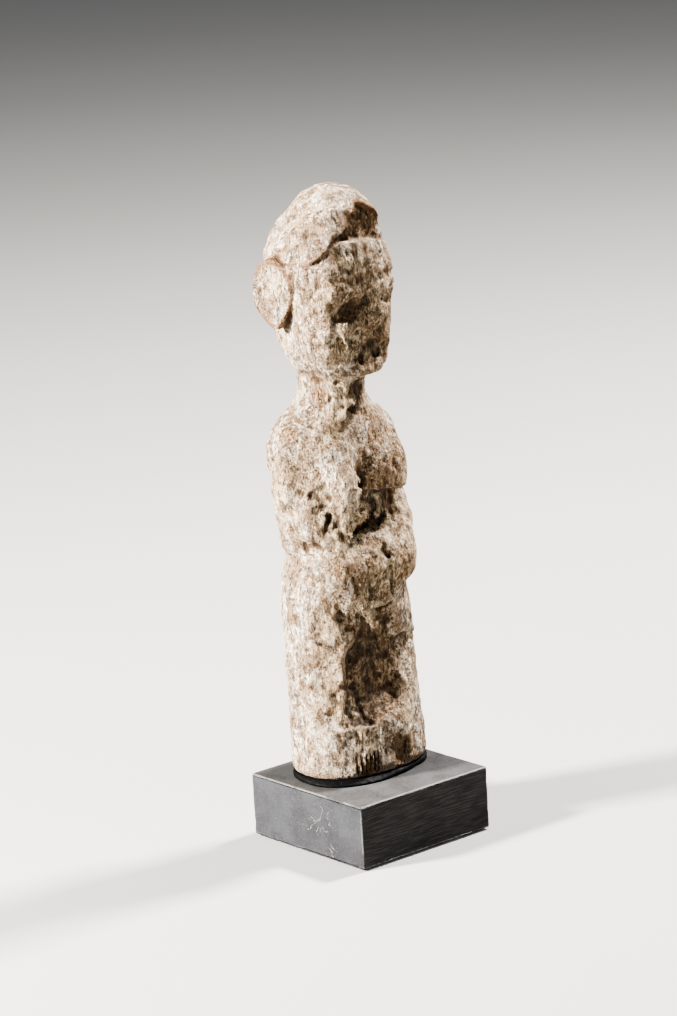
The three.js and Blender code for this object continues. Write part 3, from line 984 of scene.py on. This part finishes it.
def wood_material():
    """Dry brown wood under a pale, patchy crust, darker in pits, with brown wood showing on worn edges, and
    darker in hollows partly as dirt and partly as painted shade.
    """
    n = Nodes("carved_wood")
    hollow = n.attribute("hollow")
    ridge = n.attribute("ridge")
    fibrous = n.attribute("fibrous")
    bare_and_shade = n.attribute("bare_and_shade")
    rim = n.attribute("rim")

    broad = n.noise(n.scaled(75, 75, 50), detail=3)
    patch = n.noise(n.scaled(260, 260, 170), detail=6, roughness=0.72, distortion=0.5)
    streak = n.noise(n.scaled(900, 900, 110), detail=5, roughness=0.65)
    grit = n.noise(n.scaled(850, 850, 560), detail=4, roughness=0.75)
    speck = n.noise(n.scaled(1700, 1700, 1200), detail=3, roughness=0.7)
    fibre = n.noise(n.scaled(1500, 1500, 330), detail=4, roughness=0.7, distortion=0.8)
    crackle = n.noise(n.scaled(1100, 1100, 130), detail=3, distortion=0.6)

    # The crust holds on the smooth skin, and has gone from worn places and random patches; the worn spots
    # between the thighs stand for painted shade. In hollows it is thinned partly as dirt and partly as
    # painted shade.
    crust = n.plus(n.times(broad, 0.9), n.times(patch, 1.1))
    crust = n.plus(crust, n.times(grit, 0.75))
    crust = n.minus(crust, n.times(bare_and_shade, 0.40))
    crust = n.minus(crust, n.times(hollow, 0.45))
    crust = n.ramp(crust, 1.02, 1.34)

    wood = n.mix(n.ramp(streak, 0.35, 0.62), rgb(80, 57, 41), rgb(168, 134, 100))
    wood = n.mix(n.ramp(grit, 0.48, 0.62), wood, rgb(212, 190, 160))
    pale = n.mix(n.ramp(grit, 0.34, 0.6), rgb(176, 156, 136), rgb(255, 245, 228))
    pale = n.mix(n.ramp(broad, 0.42, 0.62), pale, rgb(226, 204, 174))
    pale = n.mix(n.times(n.ramp(streak, 0.50, 0.64), 0.6), pale, rgb(140, 130, 124))
    stain = n.noise(n.scaled(170, 170, 120), detail=5, roughness=0.7, distortion=0.6)
    pale = n.mix(n.times(n.ramp(stain, 0.47, 0.56), 0.8), pale, rgb(176, 148, 120))
    mottle = n.noise(n.scaled(360, 360, 260), detail=6, roughness=0.78)
    pale = n.mix(n.times(n.ramp(mottle, 0.50, 0.59), 0.9), pale, rgb(112, 92, 76))
    colour = n.mix(crust, wood, pale)

    # Straw-coloured loose fibre in the eroded places.
    straw = n.mix(n.ramp(fibre, 0.42, 0.58), rgb(112, 84, 60), rgb(250, 234, 202))
    loose = n.times(n.ramp(fibrous, 0.12, 0.75), n.ramp(grit, 0.40, 0.54))
    colour = n.mix(n.times(loose, 0.85), colour, straw)

    # Worn ridges show warm brown, and dirt stays in pits and hairline cracks. Hollows are darkened partly
    # as dirt and partly as painted shade.
    edge = n.times(n.ramp(ridge, 0.45, 1.0), n.ramp(patch, 0.44, 0.60))
    colour = n.mix(n.times(edge, 0.5), colour, rgb(148, 122, 98))
    handled = n.times(n.ramp(rim, 0.2, 0.8), n.ramp(patch, 0.36, 0.52))
    colour = n.mix(n.times(handled, 0.8), colour, rgb(142, 104, 74))
    crack = n.hairline(crackle, 0.004, 0.02)
    crack = n.times(crack, n.ramp(streak, 0.46, 0.58))
    pit = n.times(n.ramp(speck, 0.38, 0.47, 1.0, 0.0), n.ramp(patch, 0.66, 0.46))
    dirt = n.math("MAXIMUM", n.times(crack, 0.75), n.times(pit, 0.8))
    dirt = n.times(dirt, n.ramp(loose, 0.0, 0.6, 1.0, 0.35))
    # Painted shade and dirt in the hollows.
    hollow_dirt_and_shade = n.times(n.ramp(hollow, 0.35, 1.1), 0.75)
    colour = n.mix(n.math("MAXIMUM", dirt, hollow_dirt_and_shade), colour, rgb(40, 28, 21))

    # The thin knife cuts that part the toes.
    wobble = n.times(n.minus(patch, 0.5), 0.0016)
    phase = n.times(n.plus(n.along("X"), wobble), 2 * math.pi / TOE_PITCH)
    stroke = n.times(n.ramp(n.math("SINE", phase), -0.1, 0.5), n.attribute("toes"))
    colour = n.mix(n.times(stroke, 0.9), colour, rgb(34, 24, 18))

    roughness = n.ramp(crust, 0.0, 1.0, 0.72, 0.93)
    height = n.plus(n.times(fibre, 0.45), n.times(speck, 0.55))
    height = n.minus(height, n.times(crack, 0.25))
    height = n.minus(height, n.times(pit, 0.25))
    height = n.minus(height, n.times(stroke, 0.5))
    normal = n.bump(grit, 0.0016)
    normal = n.bump(height, 0.0009, normal)
    return n.finish(colour, roughness, normal, specular=0.25)


def fibre_material():
    n = Nodes("loose_fibre")
    strand = n.noise(n.scaled(700), detail=3, roughness=0.7)
    colour = n.mix(n.ramp(strand, 0.36, 0.62), rgb(150, 118, 84), rgb(252, 238, 208))
    # Fibres in the darkened sheltered places are darker too, partly as dirt and partly as painted shade.
    colour = n.mix(n.ramp(n.attribute("soot_and_shade"), 0.1, 0.8, 0.0, 0.85), colour, rgb(62, 45, 33))
    return n.finish(colour, n.ramp(strand, 0.3, 0.7, 0.6, 0.85), n.bump(strand, 0.0001), specular=0.3)


def mastic_material():
    n = Nodes("mastic")
    soft = n.noise(n.scaled(500), detail=3)
    dust = n.noise(n.scaled(2600), detail=2, roughness=0.7)
    colour = n.mix(n.ramp(dust, 0.6, 0.75), rgb(8, 8, 9), rgb(40, 37, 34))
    roughness = n.ramp(soft, 0.35, 0.65, 0.62, 0.8)
    return n.finish(colour, roughness, n.bump(soft, 0.0006), specular=0.15)


def paint_material():
    """Thin satin black on fine-grained hardwood, dusty on top, with pale scuffs and rubbed edges, and
    darker on the sides across y as painted shade.
    """
    n = Nodes("painted_wood")
    worn = n.attribute("worn")
    up = n.attribute("up")
    scuffed = n.attribute("scuffed")
    grain_side_and_shade = n.attribute("grain_side_and_shade")
    grain = n.noise(n.scaled(120, 260, 3000), detail=3, roughness=0.6, distortion=0.25)
    saw = n.noise(n.scaled(90, 400, 1500), detail=2, roughness=0.5)
    cloud = n.noise(n.scaled(110), detail=5, roughness=0.6)
    speck = n.noise(n.scaled(1100), detail=4, roughness=0.8)
    scratch = n.noise(n.scaled(90, 70, 170), detail=2, distortion=1.0)

    base = n.mix(n.ramp(cloud, 0.35, 0.65), rgb(56, 56, 59), rgb(68, 69, 72))
    base = n.mix(n.times(n.ramp(speck, 0.52, 0.68), 0.5), base, rgb(96, 96, 97))
    # The two sides across y are painted much darker: painted shade, with the grain showing in it.
    grain_face_in_shade = n.mix(n.ramp(grain, 0.44, 0.62), rgb(9, 9, 9), rgb(48, 45, 43))
    base = n.mix(grain_side_and_shade, base, grain_face_in_shade)
    dust = n.times(n.ramp(up, 0.5, 0.9), n.ramp(speck, 0.40, 0.60))
    base = n.mix(n.times(dust, 0.9), base, rgb(76, 74, 71))
    base = n.mix(n.times(n.ramp(speck, 0.66, 0.74), 0.6), base, rgb(128, 122, 114))
    mark = n.hairline(scratch, 0.002, 0.014)
    mark = n.times(mark, n.ramp(scuffed, 0.3, 0.6))
    mark = n.times(mark, n.ramp(speck, 0.40, 0.55))
    base = n.mix(n.times(mark, 0.45), base, rgb(176, 172, 164))
    rub = n.times(n.ramp(worn, 0.35, 0.95), n.ramp(cloud, 0.34, 0.54))
    rub = n.times(rub, n.ramp(speck, 0.3, 0.5))
    base = n.mix(n.times(rub, 0.7), base, rgb(140, 138, 134))

    roughness = n.ramp(cloud, 0.3, 0.7, 0.42, 0.6)
    relief = n.plus(n.times(grain, 0.7), n.times(saw, 0.3))
    relief = n.times(relief, grain_side_and_shade)
    normal = n.bump(relief, 0.00026)
    normal = n.bump(speck, 0.00012, normal)
    return n.finish(base, roughness, normal, specular=0.32)


def felt_material():
    n = Nodes("felt")
    fuzz = n.noise(n.scaled(3000), detail=3, roughness=0.7)
    tuft = n.noise(n.scaled(900), detail=2)
    colour = n.mix(fuzz, rgb(9, 9, 10), rgb(36, 35, 36))
    n.shader.inputs["Sheen Weight"].default_value = 0.3
    height = n.plus(fuzz, tuft)
    return n.finish(colour, n.ramp(tuft, 0.3, 0.7, 0.9, 1.0), n.bump(height, 0.0003), specular=0.1)


def steel_material():
    n = Nodes("pin_steel")
    turned = n.noise(n.scaled(300, 300, 5000), detail=2)
    stain = n.noise(n.scaled(400), detail=4)
    n.shader.inputs["Metallic"].default_value = 1.0
    colour = n.mix(n.ramp(stain, 0.5, 0.7), rgb(176, 176, 174), rgb(138, 128, 116))
    return n.finish(colour, n.ramp(turned, 0.3, 0.7, 0.28, 0.45), n.bump(turned, 0.00004), 0.5)


def floor_material():
    """Pale matt paper. A weak glow keeps the horizon from going black in low views."""
    n = Nodes("studio_floor")
    soft = n.noise(n.scaled(3), detail=2)
    colour = n.mix(soft, rgb(150, 149, 146), rgb(156, 155, 152))
    n.shader.inputs["Emission Color"].default_value = rgb(*SKY)
    n.shader.inputs["Emission Strength"].default_value = FLOOR_GLOW
    return n.finish(colour, 0.85, n.bump(soft, 0.0001), specular=0.15)


# ---------------------------------------------------------------- pieces


def make_piece(name, mesh, material, node):
    piece = bpy.data.objects.new(name, mesh)
    bpy.context.scene.collection.objects.link(piece)
    mesh.materials.clear()
    mesh.materials.append(material)
    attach(piece, "root")
    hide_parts(node)
    return piece


# Where the crust has worn off to brown wood: centre, reach and strength. The two spots in the hollow
# between the thighs stand partly for painted shade.
BARE_AND_SHADE = [
    ((0, -17, 170), 15, 0.9),
    ((4, -17, 152), 9, 1.0),
    ((4, -14, 199), 9, 1.0),
    ((8, -17, 112), 13, 0.6),
    ((-20, 2, 123), 8, 0.45),
    ((-2, -20, 74), 12, 1.0),
    ((-12, -18, 76), 9, 0.8),
    ((12, -17, 74), 9, 0.9),
    ((4, -12, 97), 11, 1.0),
    ((-12, -7, 128), 7, 0.5),
    ((-3, -12, 36), 15, 0.9),
    ((-4, -12, 50), 11, 0.8),
    ((5, -18, 7), 6, 0.9),
    ((-10, -18, 5), 5, 0.8),
]


# Sheltered places that are darkened: centre, reach along each axis and strength. This is partly dirt
# and partly stands for shadow that the studio light doesn't cast, so it looks dirty from other sides.
SOOT_AND_SHADE = [
    ((3, -17, 152), (6, 6, 6), 0.55),
    ((8, -16, 156), (4, 5, 7), 0.4),
    ((6, -12, 96), (9, 9, 7), 0.55),
    ((0, -14, 101), (4, 6, 9), 0.45),
    ((-15, -12, 90), (8, 6, 3), 0.35),
    ((1, -20, 68), (8, 5, 5), 0.4),
    ((-2, -12, 45), (11, 9, 13), 0.85),
    ((-5, -13, 28), (11, 9, 9), 0.85),
    ((-12, -15, 29), (6, 7, 11), 0.75),
    ((-18, -12, 30), (4, 5, 10), 0.35),
    ((3, -9, 136), (5, 7, 10), 0.8),
    ((-19.0, -6.4, 103.5), (3.2, 7, 7), 0.7),
    ((-16.4, -10.4, 94.5), (4.5, 6, 4.5), 0.6),
    ((4, -18, 8), (4, 4, 6), 0.25),
]


# Darkening at the listed places: partly dirt and partly painted shadow.
def soot_and_shade_share(x, y, z):
    share = 0
    for (sx, sy, sz), (rx, ry, rz), strength in SOOT_AND_SHADE:
        gap = ((x - sx) / rx) ** 2 + ((y - sy) / ry) ** 2 + ((z - sz) / rz) ** 2
        share = np.maximum(share, strength * np.exp(-(gap**1.5)))
    return share


def rim_share(x, y, z):
    """The edge of the cap of hair and the outlines of the ears, where handling has worn the crust."""
    drop = np.interp(x, HAIR_EDGE[:, 0], HAIR_EDGE[:, 1]) - z
    share = np.exp(-((drop / 1.3 + 0.2) ** 2)) * (y < 0) * (z > 184)
    for side in (-1, 1):
        outline, height = ear_slab(side).outline(x, y, z)
        near = np.exp(-(((outline + 0.3) / 0.9) ** 2))
        share = np.maximum(share, near * (side * height > -1))
    return share


def build_figure():
    clay = sculpt()
    mesh, points = mesh_from("figure_carving", clay)
    kept = keep_largest(mesh)
    points = points[kept]
    width = max(3, int(round(2.4 / clay.step)) | 1)
    x, y, z = points.T
    near = clay.sample(points, blurred(clay.field, 2, width))
    wide = clay.sample(points, blurred(clay.field, 2, 3 * width | 1))
    # Darkness for hollows: concave places plus the listed darkened places, partly dirt and partly painted
    # shade.
    shelter_dirt_and_shade = np.clip(-near * 1.5 - wide * 0.4, 0, 0.9) + soot_and_shade_share(x, y, z)
    set_attribute(mesh, "hollow", np.clip(shelter_dirt_and_shade, 0, 1.3))
    set_attribute(mesh, "ridge", np.clip(near * 1.5 + wide * 0.9 - 0.25, 0, 1))
    set_attribute(mesh, "rim", rim_share(x, y, z))
    toes = smooth_step(-15.8, -15.0, x) * smooth_step(-5.6, -6.4, x) * (y < -10)
    set_attribute(mesh, "toes", toes * smooth_step(1.2, 2.4, z) * smooth_step(9.6, 8.0, z))
    set_attribute(mesh, "fibrous", np.clip(eroded_share(x, y, z), 0, 1))
    # Worn brown wood, and painted shade between the thighs.
    set_attribute(mesh, "bare_and_shade", spot_share(BARE_AND_SHADE, x, y, z))
    return make_piece("figure_carving", mesh, wood_material(), "carved_figure")


def build_fibres(figure):
    """Loose straw-coloured fibres, lifted from the eroded places along the grain."""
    points, normals = vertex_values(figure, "co"), vertex_values(figure, "normal")
    x, y, z = ((points - np.array(SOLE)) / MM).T
    chance = np.clip(eroded_share(x, y, z) - 0.35, 0, 0.9)
    rng = np.random.default_rng(77)
    picked = rng.choice(len(points), FIBRES, replace=False, p=chance / chance.sum())
    start, out = points[picked], normals[picked]
    lie = rng.normal(0, 0.5, (FIBRES, 3))
    lie[:, 2] = rng.choice((-1.0, 1.0), FIBRES)
    lie -= out * (lie * out).sum(1)[:, None]
    lie /= np.linalg.norm(lie, axis=1)[:, None]
    side = np.cross(lie, out)
    length = (0.7 + rng.exponential(0.45, FIBRES)).clip(0, 2.0) * MM
    lift = rng.uniform(0.03, 0.18, FIBRES)
    bend = rng.normal(0, 0.25, FIBRES)
    thick = rng.uniform(0.06, 0.12, FIBRES) * MM
    rings = []
    for along, taper in ((0, 1.0), (0.35, 0.9), (0.7, 0.7), (1.0, 0.25)):
        rise = -0.25 * MM + lift * length * (along - 0.55 * along**2)
        middle = start + lie * (length * along)[:, None] + out * rise[:, None]
        middle = middle + side * (bend * length * along**2)[:, None]
        for turn in (0, 2 * math.pi / 3, 4 * math.pi / 3):
            corner = out * math.cos(turn) + side * math.sin(turn)
            rings.append(middle + corner * (thick * taper)[:, None])
    corners = np.stack(rings, 1)
    faces = []
    for fibre in range(FIBRES):
        base = fibre * 12
        for ring in range(3):
            for k in range(3):
                a, b = base + ring * 3 + k, base + ring * 3 + (k + 1) % 3
                faces.append((a, b, b + 3, a + 3))
        faces.append((base + 2, base + 1, base))
        faces.append((base + 9, base + 10, base + 11))
    mesh = bpy.data.meshes.new("loose_fibres")
    mesh.from_pydata(corners.reshape(-1, 3).tolist(), [], faces)
    mesh.update()
    # The fibres take the darkening of the listed sheltered places: partly dirt and partly painted shadow.
    set_attribute(mesh, "soot_and_shade", np.repeat(soot_and_shade_share(x[picked], y[picked], z[picked]), 12))
    return make_piece("loose_fibres", mesh, fibre_material(), "carved_figure")


def build_bedding():
    """A pad of setting compound, with the bead that it was squeezed into round the sole."""
    low = (-29.5, -23, -(SOLE.z - PAD_LOW.z) / MM - 1)
    clay = Clay.between(low, (29.5, 22.5, 2.5), 0.5)
    x, y, z = clay.whole()
    thickness = (SOLE.z - PAD_LOW.z) / MM
    angle = np.arctan2(y, x)
    # The bead is fullest at the front right foot, where the sole stands a little high.
    swell = 0.3 + 2.2 * np.exp(-((np.angle(np.exp(1j * (angle + 2.3)))) ** 2) / 0.8)
    outline = Column([(-9, 0, 0, 51.4, 37.2), (9, 0, 0, 51.4, 37.2)], 2.35)
    edge = outline.distance(x, y, z) - swell
    wobble = clay.noise(6, 31) * 0.30 + clay.noise(2.6, 32) * 0.07
    slab = smooth_max(edge + wobble, z - 0.3 + 0.62 * np.maximum(edge + swell, 0), 0.6)
    slab = np.maximum(slab, -thickness - z + 0 * x + 0 * y)
    clay.field = slab.astype(np.float32)
    clay.cut(Limb([(0, 0, -9), (0, 0, 9)], BORE_RADIUS), 0.1)
    mesh, _ = mesh_from("bedding_bead", clay)
    return make_piece("bedding_bead", mesh, mastic_material(), "foot_bedding")


def block_mesh(name, low, high, cuts, bevel):
    """A box of many faces with rounded edges."""
    work = bmesh.new()
    bmesh.ops.create_cube(work, size=1.0)
    size = high - low
    middle = (high + low) / 2
    bmesh.ops.subdivide_edges(work, edges=work.edges[:], cuts=cuts, use_grid_fill=True)
    for vertex in work.verts:
        vertex.co = Vector(v * s for v, s in zip(vertex.co, size)) + middle
    sharp = [e for e in work.edges if e.calc_face_angle(0) > 0.5]
    bmesh.ops.bevel(work, geom=sharp, offset=bevel, segments=3, profile=0.6, affect="EDGES")
    mesh = bpy.data.meshes.new(name)
    work.to_mesh(mesh)
    work.free()
    return mesh


def drill(piece, x, y, bottom, top, radius):
    """Cuts an upright round hole through a piece's mesh."""
    work = bmesh.new()
    place = Matrix.Translation((x, y, (bottom + top) / 2))
    bmesh.ops.create_cone(work, cap_ends=True, segments=32, radius1=radius, radius2=radius,
                          depth=top - bottom, matrix=place)
    tool_mesh = bpy.data.meshes.new("drill")
    work.to_mesh(tool_mesh)
    work.free()
    tool = bpy.data.objects.new("drill", tool_mesh)
    bpy.context.scene.collection.objects.link(tool)
    modifier = piece.modifiers.new("bore", "BOOLEAN")
    modifier.object = tool
    modifier.solver = "EXACT"
    depsgraph = bpy.context.evaluated_depsgraph_get()
    drilled = bpy.data.meshes.new_from_object(piece.evaluated_get(depsgraph))
    piece.modifiers.remove(modifier)
    old = piece.data
    piece.data = drilled
    drilled.name = old.name
    bpy.data.meshes.remove(old)
    bpy.data.objects.remove(tool)
    bpy.data.meshes.remove(tool_mesh)


def build_block():
    mesh = block_mesh("plinth_block", BLOCK_LOW, BLOCK_HIGH, 45, 0.0007)
    piece = make_piece("plinth_block", mesh, paint_material(), "plinth")
    drill(piece, SOLE.x, SOLE.y, PIN_LOW.z, BLOCK_HIGH.z + 0.005, BORE_RADIUS * MM)
    mesh = piece.data
    co = vertex_values(mesh, "co")
    low, high = np.array(BLOCK_LOW), np.array(BLOCK_HIGH)
    reach = np.minimum(co - low, high - co) / MM
    order = np.sort(reach, axis=1)
    worn = np.clip(1 - order[:, 1] / 1.1, 0, 1)
    # Edges and corners are knocked in unevenly.
    rng = np.random.default_rng(21)
    dents = np.zeros(len(co))
    for _ in range(46):
        axis = rng.integers(3)
        spot = np.where(rng.random(3) < 0.5, low, high)
        spot[axis] = rng.uniform(low[axis], high[axis])
        size = rng.uniform(0.6, 2.0) * MM
        gap = ((co - spot) ** 2).sum(1) / size**2
        dents = np.maximum(dents, rng.uniform(0.05, 0.32) * np.exp(-gap))
    inward = (low + high) / 2 - co
    inward /= np.linalg.norm(inward, axis=1)[:, None]
    co = co + inward * (dents * worn * MM)[:, None]
    mesh.vertices.foreach_set("co", co.astype(np.float32).ravel())
    set_attribute(mesh, "worn", worn)
    normals = vertex_values(mesh, "normal")
    set_attribute(mesh, "up", np.clip(normals[:, 2], 0, 1))
    # The sides across y show the grain and are painted darker there as painted shade.
    across = np.maximum(np.abs(normals[:, 0]), np.abs(normals[:, 2]))
    set_attribute(mesh, "grain_side_and_shade", 1 - 0.9 * np.clip(across, 0, 1))
    scuffs = [((-30, -8, 15), 6), ((-30, -3, 11), 4), ((-30, -14, 4), 3.5), ((-30, -27, 9), 3)]
    scuffed = 0
    for spot, size in scuffs:
        gap = ((co / MM - np.array(spot)) ** 2).sum(1) / size**2
        scuffed = np.maximum(scuffed, np.exp(-gap))
    set_attribute(mesh, "scuffed", scuffed)
    shade_smooth(mesh)
    mesh.update()
    return piece


def build_felt():
    mesh = block_mesh("felt_sheet", FELT_LOW, FELT_HIGH, 60, 0.00022)
    rng = np.random.default_rng(8)
    co = vertex_values(mesh, "co")
    middle = np.array((FELT_LOW + FELT_HIGH) / 2)
    half = np.array((FELT_HIGH - FELT_LOW) / 2)
    near_side = (np.abs(co - middle)[:, :2] > half[:2] - 0.0008).any(1)
    shrink = rng.uniform(0, 0.0004, len(co)) * near_side
    direction = co[:, :2] - middle[:2]
    direction /= np.linalg.norm(direction, axis=1)[:, None] + 1e-9
    co[:, :2] -= (direction * shrink[:, None]).astype(np.float32)
    mesh.vertices.foreach_set("co", co.ravel())
    shade_smooth(mesh)
    return make_piece("felt_sheet", mesh, felt_material(), "base_felt")


def finish_pin():
    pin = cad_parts["mounting_pin"]
    pin.data.materials.clear()
    pin.data.materials.append(steel_material())


# ---------------------------------------------------------------- camera, lights and floor


# The camera's angles in degrees, and in metres its distance and its aim aside and above the block's foot.
AZIMUTH, ELEVATION, ROLL = -39.851, 14.018, -3.272
CAMERA_DISTANCE, AIM_ASIDE, AIM_ABOVE = 1.3229, -0.01213, 0.11617
SKY = (214, 216, 220)
FLOOR_GLOW = 0.10


def add_camera():
    """A long lens from the figure's right front, a little above it, rolled slightly."""
    azimuth, elevation, roll = (math.radians(a) for a in (AZIMUTH, ELEVATION, ROLL))
    back = Vector((math.sin(azimuth) * math.cos(elevation),
                   -math.cos(azimuth) * math.cos(elevation),
                   math.sin(elevation)))
    level = Vector((math.cos(azimuth), math.sin(azimuth), 0))
    upright = back.cross(level)
    right = level * math.cos(roll) + upright * math.sin(roll)
    up = upright * math.cos(roll) - level * math.sin(roll)
    foot = Vector((0, 0, BLOCK_LOW.z))
    aim = foot + right * AIM_ASIDE + up * AIM_ABOVE

    data = bpy.data.cameras.new("camera")
    data.lens = 130
    data.sensor_width = 36
    data.clip_start = 0.05
    data.clip_end = 60
    camera = bpy.data.objects.new("camera", data)
    bpy.context.scene.collection.objects.link(camera)
    turn = Matrix((right, up, back)).transposed()
    camera.matrix_world = Matrix.Translation(aim + back * CAMERA_DISTANCE) @ turn.to_4x4()
    bpy.context.scene.camera = camera


def add_light(name, direction, distance, size, power, colour):
    data = bpy.data.lights.new(name, "AREA")
    data.shape = "SQUARE"
    data.size = size
    data.energy = power
    data.color = colour
    light = bpy.data.objects.new(name, data)
    bpy.context.scene.collection.objects.link(light)
    aim = (CAD_BOX[0] + CAD_BOX[1]) / 2
    spot = aim + Vector(direction).normalized() * distance
    light.location = spot
    light.rotation_euler = (aim - spot).to_track_quat("-Z", "Y").to_euler()


def add_studio():
    mesh = bpy.data.meshes.new("studio_floor")
    half = 12.0
    corners = [(-half, -half, 0), (half, -half, 0), (half, half, 0), (-half, half, 0)]
    mesh.from_pydata(corners, [], [(0, 1, 2, 3)])
    floor = bpy.data.objects.new("studio_floor", mesh)
    bpy.context.scene.collection.objects.link(floor)
    mesh.materials.append(floor_material())

    add_light("key", (-0.82, 0.30, 0.48), 1.2, 0.16, 82, (1.0, 0.965, 0.92))
    add_light("second", (0.60, -0.08, 0.80), 1.3, 0.16, 62, (1.0, 0.97, 0.94))
    add_light("fill", (-0.35, -0.9, 0.45), 1.8, 1.4, 1.8, (1.0, 0.98, 0.96))

    world = bpy.data.worlds.new("studio")
    bpy.context.scene.world = world
    world.use_nodes = True
    sky = world.node_tree.nodes["Background"]
    sky.inputs["Color"].default_value = rgb(*SKY)
    sky.inputs["Strength"].default_value = 0.14


# ---------------------------------------------------------------- the scene

bpy.context.scene.view_settings.look = "AgX - High Contrast"
add_camera()
build_fibres(build_figure().data)
build_bedding()
build_block()
build_felt()
finish_pin()
add_studio()
